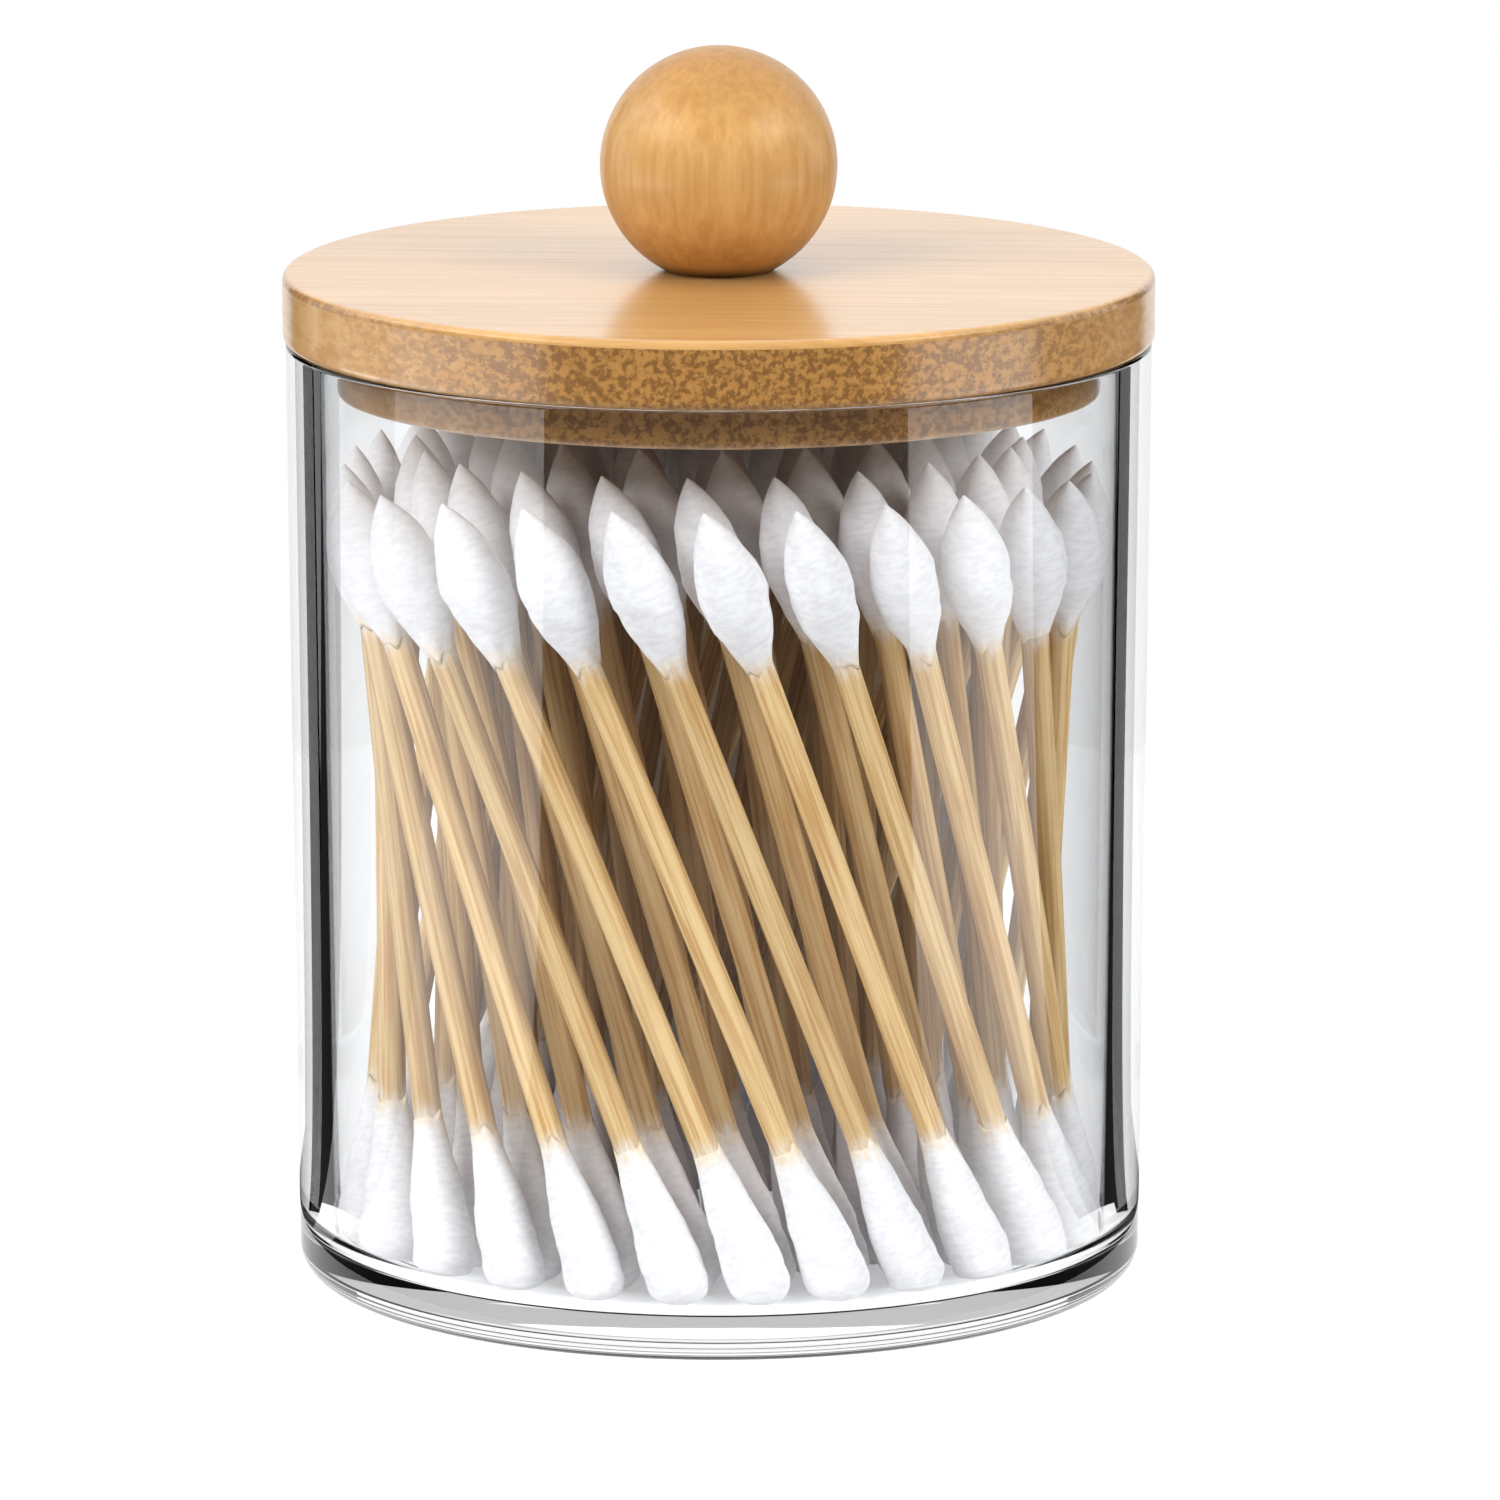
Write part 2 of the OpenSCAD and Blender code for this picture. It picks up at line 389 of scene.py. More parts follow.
def capped_shell(grid):
    """A closed shell from a grid whose end rows shrink to a point each: points, quads, triangles."""
    rows, columns = grid.shape[:2]
    points = np.concatenate([grid[0].mean(0)[None], grid[1:-1].reshape(-1, 3), grid[-1].mean(0)[None]])
    quads = bands(rows - 2, columns) + 1
    column = np.arange(columns)
    beside = (column + 1) % columns
    last = 1 + (rows - 3) * columns
    start_fan = np.column_stack([np.zeros(columns, int), 1 + beside, 1 + column])
    end_fan = np.column_stack([last + column, last + beside, np.full(columns, len(points) - 1)])
    return points, quads, np.concatenate([start_fan, end_fan])


def new_piece(name, shells, finishes, extras=None):
    """Makes an object from closed shells, each with points, quads, triangles and the number of its finish.
    Extras are vectors kept on the points, one array for each shell, under a name."""
    starts = np.cumsum([0] + [len(shell[0]) for shell in shells])
    points = np.concatenate([shell[0] for shell in shells])
    corners, sides, chosen = [], [], []
    for start, (_, quads, triangles, finish) in zip(starts, shells):
        for faces in (quads, triangles):
            corners.append((faces + start).ravel())
            sides.append(np.full(len(faces), faces.shape[1]))
            chosen.append(np.full(len(faces), finish))
    corners = np.concatenate(corners)
    sides = np.concatenate(sides)
    mesh = bpy.data.meshes.new(name)
    mesh.vertices.add(len(points))
    mesh.vertices.foreach_set("co", points.astype(np.float32).ravel())
    mesh.loops.add(len(corners))
    mesh.loops.foreach_set("vertex_index", corners.astype(np.int32))
    mesh.polygons.add(len(sides))
    mesh.polygons.foreach_set("loop_start", (np.cumsum(sides) - sides).astype(np.int32))
    mesh.polygons.foreach_set("material_index", np.concatenate(chosen).astype(np.int32))
    mesh.polygons.foreach_set("use_smooth", np.ones(len(sides), bool))
    for label, arrays in (extras or {}).items():
        kept = mesh.attributes.new(label, "FLOAT_VECTOR", "POINT")
        kept.data.foreach_set("vector", np.concatenate(arrays).astype(np.float32).ravel())
    mesh.update(calc_edges=True)
    if mesh.validate():
        raise RuntimeError(f"{name} came out with faulty faces")
    for finish in finishes:
        mesh.materials.append(finish)
    piece = bpy.data.objects.new(name, mesh)
    bpy.context.scene.collection.objects.link(piece)
    return piece


def clear_plastic():
    """Clear moulded plastic: polished, with faint flow marks, and open to the light of lamps."""
    finish = settings().finish
    recipe = material("clear_plastic")
    place = recipe.object_place()
    flow = recipe.noise(recipe.stretched(place, (1, 1, 0.35)), 55, 2)
    haze = recipe.noise(place, 300, 1)
    plastic = recipe.surface({
        "Base Color": recipe.mixed(haze.step(0.35, 0.75, 0, 0.25), finish.clear, (0.9, 0.92, 0.94)),
        "Roughness": 0.0,
        "IOR": 1.49,
        "Transmission Weight": 1.0,
        "Normal": recipe.relief(flow, 0.012, 1 * MM),
    })
    passing = recipe.node("ShaderNodeBsdfTransparent", None, {"Color": (0.965, 0.97, 0.975, 1.0)})
    lamps = recipe.light_path("Is Shadow Ray", "Is Diffuse Ray")
    return recipe.shown(recipe.node("ShaderNodeMixShader", None, {0: lamps, 1: plastic, 2: passing}))


def bamboo(name, look, core, face=None):
    """Lacquered bamboo. Turned by the core's angles, the fibres run along Y: long veins, and fibre bundles
    that show as specks on end grain and as dashes along it. A face gives the angles and the lowest height
    of a ply whose fibres run another way. The look holds the strips' width, the strength of veins, specks,
    mottle and coat, and the height of a foot whose lowest 1.4 mm is darkened with painted contact shade."""
    finish = settings().finish
    recipe = material(name)
    place = recipe.object_place()
    normal = recipe.node("ShaderNodeTexCoord", out="Normal")
    fibres = recipe.turned(place, core)
    way = recipe.turned(normal, core, "NORMAL")
    height = recipe.axes(place)[2]
    veins = look["veins"]
    if face:
        on_face = height.step(face[1] - 0.02 * MM, face[1])
        fibres = recipe.blended(on_face, fibres, recipe.turned(place, face[0]))
        way = recipe.blended(on_face, way, recipe.turned(normal, face[0], "NORMAL"))
        veins = veins * (1 - 0.45 * on_face)
    across = recipe.axes(fibres)[0] / look["strip"] + 0.37
    end_grain = abs(recipe.axes(way)[1]).step(0.3, 0.95)
    strip_shade = recipe.chance(across.whole())
    vein = recipe.noise(recipe.stretched(fibres, (1, 0.025, 1)), 900, 3, 0.6)
    speck = recipe.noise(recipe.stretched(fibres, (1, 0.03, 1)), 1650, 2, 0.65)
    cloud = recipe.noise(place, 150, 2, 0.6)
    specks = speck.step(0.4, 0.6)
    veined = recipe.mixed(vein.step(0.34, 0.7) * veins, finish.bamboo_face, finish.bamboo_vein)
    shaded = recipe.mixed(end_grain * 0.85, veined, finish.bamboo_end)
    specked = recipe.mixed(specks * (0.1 * veins + look["specks"] * end_grain), shaded, finish.bamboo_fibre)
    # Painted shade: the lowest 1.4 mm above the foot height is darkened down to 0.3, standing in for the
    # contact shade where the ball sits on the lid
    painted_foot_shade = height.step(look["painted_foot_shade"], look["painted_foot_shade"] + 1.4 * MM, 0.3, 1)
    tone_and_painted_shade = (1 + (strip_shade - 0.5) * 0.1 + (cloud - 0.5) * look["mottle"]) * painted_foot_shade
    return recipe.shown(recipe.surface({
        "Base Color": recipe.mixed(1.0, specked, recipe.grey(tone_and_painted_shade), "MULTIPLY"),
        "Roughness": 0.42 + (vein - 0.5) * 0.25,
        "Coat Weight": look["coat"],
        "Coat Roughness": 0.18,
        "Normal": recipe.relief(vein - specks * 0.4, 0.15, 0.08 * MM),
    }))


def steel():
    """Bright steel of the screw, with fine turning marks."""
    finish = settings().finish
    recipe = material("screw_steel")
    marks = recipe.noise(recipe.stretched(recipe.object_place(), (1, 1, 9)), 1500, 3)
    darker = [0.7 * part for part in finish.steel]
    return recipe.shown(recipe.surface({
        "Base Color": recipe.mixed(marks.step(0.3, 0.7), finish.steel, darker),
        "Metallic": 1.0,
        "Roughness": marks.step(0.3, 0.7, 0.25, 0.4),
        "Normal": recipe.relief(marks, 0.1, 0.05 * MM),
    }))


def wisps(recipe, place):
    """How far cotton covers the stick here: the cover kept on the points, frayed by streaks along it."""
    cover = recipe.axes(recipe.attribute("cover"))[0]
    streaks = recipe.noise(recipe.stretched(place, (1, 1, 0.22)), 2300, 2, 0.6)
    return (cover + (streaks - 0.5) * 0.6).step(0.12, 0.88)


def stick_wood():
    """Pale bare wood of the sticks, with streaks along them, a shade of their own, wisps of cotton at both
    ends, and painted shade deep in the sheaf, multiplied in from the inner tint."""
    finish = settings().finish
    recipe = material("stick_wood")
    place = recipe.attribute("grain")
    streak = recipe.noise(recipe.stretched(place, (1, 1, 0.025)), 2600, 3, 0.6)
    # deep is painted shade: how far this stick is darkened towards the inner tint, by how deep it stands in
    # the sheaf
    _, shade, deep = recipe.axes(recipe.attribute("cover"))
    veined = recipe.mixed(streak.step(0.36, 0.7), finish.stick_face, finish.stick_vein)
    toned = recipe.mixed(1.0, veined, recipe.grey(0.84 + shade * 0.2), "MULTIPLY")
    covered = recipe.mixed(wisps(recipe, place), toned, finish.cotton)
    return recipe.shown(recipe.surface({
        "Base Color": recipe.mixed(deep, covered, finish.inner, "MULTIPLY"),
        "Roughness": 0.6 + (streak - 0.5) * 0.25,
        "Specular IOR Level": 0.35,
        "Normal": recipe.relief(streak, 0.3, 0.08 * MM),
    }))


def cotton():
    """Wound cotton: matt white, with fibres laid round the bud, painted shade in the soft hollows between
    them, the stick's wood showing where it thins out, and painted shade deep in the sheaf from the inner
    tint."""
    finish = settings().finish
    recipe = material("cotton")
    place = recipe.attribute("grain")
    wound = recipe.noise(recipe.stretched(place, (0.4, 0.4, 1)), 2400, 3, 0.6)
    # Painted shade: the cotton is darker where the relief dips between the windings
    white = recipe.mixed(wound.step(0.34, 0.62), finish.cotton_shade, finish.cotton)
    # deep is painted shade: how far this bud is darkened towards the inner tint, by how deep it stands in
    # the sheaf
    deep = recipe.axes(recipe.attribute("cover"))[2]
    covered = recipe.mixed(wisps(recipe, place), finish.stick_face, white)
    return recipe.shown(recipe.surface({
        "Base Color": recipe.mixed(deep, covered, finish.inner, "MULTIPLY"),
        "Roughness": 0.9 + (wound - 0.5) * 0.15,
        "Specular IOR Level": 0.12,
        "Sheen Weight": 0.2,
        "Normal": recipe.relief(wound, 0.35, 0.14 * MM),
    }))


class SWABHOLDER_OT_clear_jar(Operator):
    """Makes the clear jar: one outline from the middle of the foot, round the wall and back to the middle
    of the floor, turned about the axis"""

    bl_idname = "swab_holder.clear_jar"
    bl_label = "Clear jar"

    def execute(self, context):
        size = settings().jar
        tilt = size.draft
        slope = math.tan(tilt)
        top = JAR_TOP.z
        rim = JAR_TOP.x
        mouth = rim - size.wall
        foot = rim - top * slope
        floor = mouth - (top - size.floor) * slope
        lean = (1 - math.sin(tilt)) / math.cos(tilt)
        foot_x = foot - size.foot_edge * lean
        floor_x = floor - size.fillet * lean
        hollow = foot - size.foot_edge - size.foot_ring
        edge = size.rim_edge
        outer_x = rim - edge * slope - edge / math.cos(tilt)
        inner_x = mouth - edge * slope + edge / math.cos(tilt)
        right = math.pi / 2
        outline = np.concatenate([
            [(0.0, size.foot_hollow), (hollow - size.foot_hollow, size.foot_hollow), (hollow, 0.0)],
            arc((foot_x, size.foot_edge), size.foot_edge, -right, -tilt, 20),
            arc((outer_x, top - edge), edge, -tilt, right, 10),
            arc((inner_x, top - edge), edge, right, 2 * right - tilt, 10),
            arc((floor_x, size.floor + size.fillet), size.fillet, -tilt, -right, 20),
            [(0.0, size.floor)],
        ])
        shell = capped_shell(revolved(supported(outline, 1.5 * MM, 0.12 * MM), size.turns))
        piece = new_piece("jar_clear", [(*shell, 0)], [clear_plastic()])
        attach(piece, "jar")
        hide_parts("jar")
        return {"FINISHED"}


class SWABHOLDER_OT_bamboo_lid(Operator):
    """Makes the turned lid: one closed outline of plug, disc and screw hole, turned about the axis"""

    bl_idname = "swab_holder.bamboo_lid"
    bl_label = "Bamboo lid"

    def execute(self, context):
        size = settings().lid
        low = LID_LOW.z
        under = JAR_TOP.z
        top = LID_TOP.z
        reach = LID_TOP.x
        plug = JAR_TOP.x - settings().jar.wall - size.plug_gap
        hole = size.hole / 2
        sink = size.sink / 2
        right = math.pi / 2
        outline = np.concatenate([
            [(hole, low + sink - hole), (sink, low)],
            arc((plug - size.plug_edge, low + size.plug_edge), size.plug_edge, -right, 0, 9),
            [(plug, under)],
            arc((reach - size.edge, under + size.edge), size.edge, -right, 0, 11),
            arc((reach - size.edge, top - size.edge), size.edge, 0, right, 11),
            [(hole, top), (hole, low + sink - hole)],
        ])
        grid = revolved(supported(outline, 1.5 * MM, 0.12 * MM)[:-1], size.turns)
        look = {"strip": 5.5 * MM, "veins": 1.0, "specks": 0.66, "mottle": 0.16, "coat": 1.0, "painted_foot_shade": -1.0}
        face = ((0, 0, size.face_grain), top - size.ply)
        finish = bamboo("lid_bamboo", look, (0, 0, size.grain), face)
        piece = new_piece("lid_turned", [(*ring_shell(grid), 0)], [finish])
        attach(piece, "lid")
        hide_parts("lid")
        return {"FINISHED"}


class SWABHOLDER_OT_ball_knob(Operator):
    """Makes the ball knob: the outline of a ball on a flat with a blind hole, turned about the axis"""

    bl_idname = "swab_holder.ball_knob"
    bl_label = "Ball knob"

    def execute(self, context):
        size = settings().knob
        base = LID_TOP.z
        radius = KNOB_TOP.x
        middle = KNOB_TOP.z - radius
        start = -math.acos(size.flat / 2 / radius)
        hole = size.hole / 2
        depth = SCREW_TOP.z + 0.1 * MM
        outline = np.concatenate([
            [(0.0, depth), (hole, depth), (hole, base)],
            arc((0.0, middle), radius, start, math.pi / 2, 90),
        ])
        outline[-1, 0] = 0.0
        shell = capped_shell(revolved(supported(outline, 1 * MM, 0.1 * MM), size.turns))
        # The foot height is the lid's top: the ball's lowest 1.4 mm gets painted contact shade
        look = {"strip": 60 * MM, "veins": 0.6, "specks": 0.12, "mottle": 0.3, "coat": 0.3, "painted_foot_shade": base}
        finish = bamboo("knob_bamboo", look, (math.radians(90), 0, 0))
        piece = new_piece("knob_ball", [(*shell, 0)], [finish])
        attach(piece, "lid")
        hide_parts("knob")
        return {"FINISHED"}


class SWABHOLDER_OT_steel_screw(Operator):
    """Gives the screw under the knob its steel"""

    bl_idname = "swab_holder.steel_screw"
    bl_label = "Steel screw"

    def execute(self, context):
        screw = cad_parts["knob_screw"]
        screw.data.materials.clear()
        screw.data.materials.append(steel())
        return {"FINISHED"}


def solid_points(mesh):
    """Corners of each solid in a mesh. Corners at one place are merged, then every corner takes the lowest
    number in its triangles, again and again until nothing changes: each solid ends with one number."""
    points = np.empty(len(mesh.vertices) * 3, np.float32)
    mesh.vertices.foreach_get("co", points)
    places = np.round(points.reshape(-1, 3).astype(float), 7)
    points, merged = np.unique(places, axis=0, return_inverse=True)
    corners = np.empty(len(mesh.loops), np.int32)
    mesh.loops.foreach_get("vertex_index", corners)
    triangles = merged.ravel()[corners].reshape(-1, 3)
    number = np.arange(len(points))
    before = None
    while before is None or not np.array_equal(before, number):
        before = number.copy()
        np.minimum.at(number, triangles, number[triangles].min(1, keepdims=True))
        number = number[number]
    return [points[number == chosen] for chosen in np.unique(number)]


def swab_axes(solids):
    """The foot, the way up and the length of every swab, read from its solid: its point is the place
    farthest above its middle, and its foot is the place farthest from that point."""
    feet = []
    heads = []
    for points in solids:
        middle = points.mean(0)
        away = np.linalg.norm(points - middle, axis=1) * (points[:, 2] > middle[2])
        head = points[away.argmax()]
        heads.append(head)
        feet.append(points[np.linalg.norm(points - head, axis=1).argmax()])
    feet = np.array(feet)
    way = np.array(heads) - feet
    reach = np.linalg.norm(way, axis=1)
    return feet, way / reach[:, None], reach


def ogive(along, wide, run):
    """Radius of a point at a distance along it: an arc that starts parallel to the axis at the widest
    section and falls to nothing over the run."""
    bend = (run**2 + wide**2) / (2 * wide)
    return np.sqrt(bend**2 - along**2) - bend + wide


def neck_curve(share_along, wide, thin):
    """Radius of a neck: the rise over the thin end is (1 - share^2)^1.4, so that it leaves the widest
    section and reaches the stick without a corner."""
    return thin + (wide - thin) * (1 - share_along**2) ** 1.4


def cotton_lumps(turn, along, phases):
    """Relief of wound cotton: a sum of waves, each with whole counts round the bud and a wavelength along
    it, and its own phase for every swab."""
    rounds = np.array([1, 2, 3, 2, 5, 7])
    waves = np.array([9.0, 6.0, 4.6, 2.4, 3.1, 1.7]) * MM
    heights = np.array([0.8, 0.7, 0.55, 0.5, 0.35, 0.25])
    inside = turn[None, None, :, None] * rounds + along[None, :, None, None] * (2 * np.pi / waves)
    return (np.cos(inside + phases[:, None, None, :]) * heights).sum(-1)


BUD_COLUMNS = 32
NECK_ROWS = 18
END_ROWS = 16
STICK_COLUMNS = 16
STICK_ROWS = 18
# Rows without fibres at the ends of a bud, and at the end on the jar's floor
BARE_ROWS = 6
FLOOR_ROWS = 13


def bud_grids(rng, count, spots, radius, hidden):
    """Grids of one bud for all swabs in the swab's own frame: the radius of each row, swollen and lumpy
    where the bud is plump, and a neck whose end wanders. Row by row, spots are the places along the
    stick and radius the half width; hidden rows close on the axis inside the stick."""
    size = settings().swab
    turn = np.linspace(0, 2 * np.pi, BUD_COLUMNS, endpoint=False)
    lumps = cotton_lumps(turn, spots, rng.uniform(0, 2 * np.pi, (count, 6)))
    thin = size.stick / 2 + size.wrap
    plump = np.clip((radius - thin) / (radius.max() - thin), 0, 1) * (1 - hidden)
    swell = 1 + rng.normal(0, 0.03, (count, 1, 1)).clip(-0.05, 0.04) * plump[None, :, None]
    wide = radius[None, :, None] * swell + lumps * size.relief * plump[None, :, None] ** 0.7
    phase = rng.uniform(0, 2 * np.pi, (count, 2))
    wander = np.cos(2 * turn + phase[:, :1]) + 0.6 * np.cos(5 * turn + phase[:, 1:])
    row = np.arange(len(radius))
    neck = row < radius.argmax() if hidden[0] else row > radius.argmax()
    loose = np.clip(1 - (radius - thin) / (0.9 * MM), 0, 1) * neck * (1 - hidden)
    spot = spots[None, :, None] + wander[:, None, :] * loose[None, :, None] * size.feather
    return np.stack([wide * np.cos(turn), wide * np.sin(turn), spot], axis=-1)


def pointed_rows(reach):
    """Places and radii of the rows of the pointed bud, from inside the stick to the point."""
    size = settings().swab
    wide = size.point / 2
    neck = np.linspace(1, 0, NECK_ROWS)
    tip = np.sin(np.linspace(0, np.pi / 2, END_ROWS)) * size.point_tip
    tip_radius = np.maximum(ogive(tip, wide, size.point_tip), 0)
    tip_radius = np.sqrt(tip_radius**2 + size.point_blunt * tip_radius)
    thin = size.stick / 2 + size.wrap
    spots = np.concatenate([-neck[:-1] * size.point_neck, tip]) + reach - size.point_tip
    return tucked(spots, np.concatenate([neck_curve(neck[:-1], wide, thin), tip_radius]), 1)


def rounded_rows():
    """Places and radii of the rows of the rounded bud, from its round end to inside the stick."""
    size = settings().swab
    wide = size.drop / 2
    swing = np.linspace(0, np.pi / 2, END_ROWS)[:-1]
    neck = np.linspace(0, 1, NECK_ROWS)
    thin = size.stick / 2 + size.wrap
    radius = np.concatenate([np.sin(swing) * wide, neck_curve(neck, wide, thin)])
    spots = np.concatenate([wide * (1 - np.cos(swing)), wide + neck * size.drop_neck])
    return tucked(spots, radius, -1)


def tucked(spots, radius, way):
    """The rows with the neck turned in under the stick's skin, and marks of those hidden rows. The way
    is 1 where the neck comes first and -1 where it comes last."""
    size = settings().swab
    skin = size.stick / 2
    inward = np.array([0.25, 0.25, 0.06]) * MM
    hem = np.array([0.0, 0.8 * skin, skin + 0.4 * size.wrap])
    neck = spots[::way][0]
    all_spots = np.concatenate([neck - way * inward, spots[::way]])[::way]
    all_radii = np.concatenate([hem, radius[::way]])[::way]
    hidden = np.concatenate([np.ones(3), np.zeros(len(spots))])[::way]
    return all_spots, all_radii, hidden


def bud_ends(reach):
    """Places along the stick where the rounded and the pointed bud run out."""
    size = settings().swab
    return size.drop / 2 + size.drop_neck, reach - size.point_tip - size.point_neck


def cotton_cover(spots, reach):
    """How far cotton covers a place: 1 inside the buds, falling evenly to 0 past them."""
    fade = settings().swab.fade
    low, high = bud_ends(reach)
    past = np.minimum(spots - low, high - spots)
    return np.clip((fade - past) / (2 * fade), 0, 1)


def stick_grids(rng, count, reach):
    """Grids of all sticks: a round rod whose radius wavers a little, closed inside the buds."""
    size = settings().swab
    turn = np.linspace(0, 2 * np.pi, STICK_COLUMNS, endpoint=False)
    low = size.drop / 2
    high = reach - size.point_tip
    low_end, high_end = bud_ends(reach)
    fading = np.linspace(-0.2, 1, 7) * size.fade
    even = np.linspace(low, high, STICK_ROWS)
    inner = np.unique(np.concatenate([even, low_end + fading, high_end - fading]))
    spots = np.concatenate([[low], inner, [high]])
    radius = np.full(len(spots), size.stick / 2)
    radius[[0, -1]] = 0
    phase = rng.uniform(0, 2 * np.pi, (count, 2))
    swell = 0.012 * np.cos(spots / (7 * MM) + phase[:, :1])[:, :, None]
    round_off = 0.015 * np.cos(2 * turn + phase[:, 1:])[:, None, :]
    wide = radius[None, :, None] * (1 + swell + round_off)
    spot = np.broadcast_to(spots[None, :, None], wide.shape)
    return np.stack([wide * np.cos(turn), wide * np.sin(turn), spot], axis=-1)


def loose_fibres(rng, grids, first_row):
    """Loose fibres of one bud for all swabs: a three-sided spike from a point of the surface, along the
    outward way and a random way, bent half way. Returns points by swab, fibre and corner. No fibre
    starts before the first row, which keeps them clear of the jar's floor."""
    size = settings().swab
    count, rows, columns = grids.shape[:3]
    shape = (count, size.fibres)
    row = rng.integers(first_row, rows - BARE_ROWS, shape)
    column = rng.integers(0, columns, shape)
    root = grids[np.arange(count)[:, None], row, column]
    out = unit(root * (1, 1, 0))
    first = out * 0.75 + rng.normal(size=(*shape, 3)) * 0.35
    second = first + rng.normal(size=(*shape, 3)) * 0.6 - out * 0.35
    run = size.fibre * rng.uniform(0.4, 1.0, (*shape, 1)) / 2
    middle = root + first * run
    end = middle + second * run
    side = unit(np.cross(first, rng.normal(size=(*shape, 3))))
    other = unit(np.cross(first, side))
    turn = np.array([0, 2 * np.pi / 3, 4 * np.pi / 3])[:, None]
    ring = side[..., None, :] * np.cos(turn) + other[..., None, :] * np.sin(turn)
    ring = ring * size.fibre_width / 2
    sunk = (root - out * 0.05 * MM)[..., None, :] + ring
    return np.concatenate([sunk, middle[..., None, :] + ring * 0.8, end[..., None, :]], axis=-2)


def pressed(points):
    """The points kept inside the jar: where they reach past its wall or floor, they are drawn in."""
    jar = settings().jar
    gap = 0.02 * MM
    inside = JAR_TOP.x - jar.wall - (JAR_TOP.z - points[:, 2]) * math.tan(jar.draft) - gap
    out = np.linalg.norm(points[:, :2], axis=1)
    inward = inside / np.maximum(out, inside)
    height = np.maximum(points[:, 2], jar.floor + gap)
    return np.column_stack([points[:, :2] * inward[:, None], height])


def fibre_faces(fibres):
    """Quads and triangles of the spikes of one bud, seven corners each."""
    triangles = np.array([(2, 1, 0), (3, 4, 6), (4, 5, 6), (5, 3, 6)])
    start = np.arange(fibres)[:, None, None] * 7
    return (bands(2, 3) + start).reshape(-1, 4), (triangles + start).reshape(-1, 3)


class SWABHOLDER_OT_cotton_swabs(Operator):
    """Makes every swab on its own solid's axis: a round stick, two wound buds whose radius runs along a
    point or round end and an S-shaped neck with lumps on it, and loose fibres that curve off the buds"""

    bl_idname = "swab_holder.cotton_swabs"
    bl_label = "Cotton swabs"

    def execute(self, context):
        rng = np.random.default_rng(settings().swab.seed)
        core = solid_points(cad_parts[CORE_NODE].data)
        lone = [solid_points(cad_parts[name].data) for name in SWAB_NODES]
        feet, way, reach = swab_axes([points for solids in lone for points in solids] + core)
        count = len(feet)
        if np.ptp(reach) > 0.2 * MM or count != len(SWAB_NODES) + len(core):
            raise RuntimeError("the swabs' solids differ in length or number")
        reach = reach.mean()
        side = unit(np.cross(way, (0.0, 1.0, 0.0)))
        frames = np.stack([side, np.cross(way, side), way], axis=1)
        grids = [
            stick_grids(rng, count, reach),
            bud_grids(rng, count, *pointed_rows(reach)),
            bud_grids(rng, count, *rounded_rows()),
        ]
        bare = (BARE_ROWS, FLOOR_ROWS)
        spikes = [loose_fibres(rng, grid, first) for grid, first in zip(grids[1:], bare)]
        shift = rng.uniform(-1, 1, (count, 3))
        shade = rng.uniform(0, 1, count)
        waist = np.linalg.norm((feet + way * reach / 2)[:, :2], axis=1)
        # Painted shade: swabs nearer the middle of the sheaf take more of the inner tint, up to the inner
        # shade setting, standing in for the shade between them
        deep = (waist.max() - waist) / np.ptp(waist) * settings().swab.shade
        quads, triangles = fibre_faces(settings().swab.fibres)
        finishes = [stick_wood(), cotton()]
        groups = [(name.replace("swab", "cotton_swab"), name, [k]) for k, name in enumerate(SWAB_NODES)]
        groups.append(("cotton_swabs_core", CORE_NODE, range(len(SWAB_NODES), count)))
        for label, node, members in groups:
            placed, grain, cover = [], [], []
            for k in members:
                shells = [(*capped_shell(grid[k]), min(number, 1)) for number, grid in enumerate(grids)]
                for spike in spikes:
                    shells.append((spike[k].reshape(-1, 3), quads, triangles, 1))
                for points, *faces in shells:
                    covered = cotton_cover(points[:, 2], reach)
                    placed.append((pressed(feet[k] + points @ frames[k]), *faces))
                    grain.append(points + shift[k])
                    # The cover attribute keeps the cotton cover, the swab's own tone and its painted inner
                    # shade
                    cover.append(np.column_stack([covered, np.full((len(points), 2), (shade[k], deep[k]))]))
            piece = new_piece(label, placed, finishes, {"grain": grain, "cover": cover})
            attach(piece, "jar")
            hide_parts(node)
        return {"FINISHED"}


# The stage. Angles are in degrees from +Y towards +X, and lengths in metres.
EVERYTHING = ("camera", "diffuse", "glossy", "transmission", "shadow")
MIRRORS = ("glossy",)
GLASS = ("transmission",)
FLOOR_RADIUS = 0.24
FLOOR_HEIGHT = -0.2 * MM
CARDS = {"left": (-135, -61), "right": (92, 131)}
CARD_RADIUS = 0.7
CARD_HEIGHTS = (0.42, 0.85)
LOW_CARDS = {"left": (-135, -88), "right": (92, 131)}
BACK_CARD = (-28, 28)
FRONT_APRON = (52, 308)
VEIL = (-100, -61)
VEIL_REACH = 0.5
EDGES = {"left": (-27, -46), "right": (31, 50)}
EDGES_END = 95
EDGE_RADIUS = 0.2
BACK_DEPTH = 0.055
# Colour of the painted shade sheet behind the sticks
BACK_SHADE_BROWN = (1.0, 0.7, 0.5)
SHELF_HEIGHT = 7.5 * MM
LIGHT_AIM = (0.0, 0.0, 0.05)


def stage_sheet(name, grid, finish, seen_by):
    """A stage sheet from a grid of points, seen only by the named kinds of ray."""
    rows, columns = grid.shape[:2]
    quads = bands(rows, columns).reshape(rows - 1, columns, 4)[:, :-1].reshape(-1, 4)
    sheet = new_piece(name, [(grid.reshape(-1, 3), quads, np.zeros((0, 3), int), 0)], [finish])
    for kind in EVERYTHING:
        setattr(sheet, f"visible_{kind}", kind in seen_by)


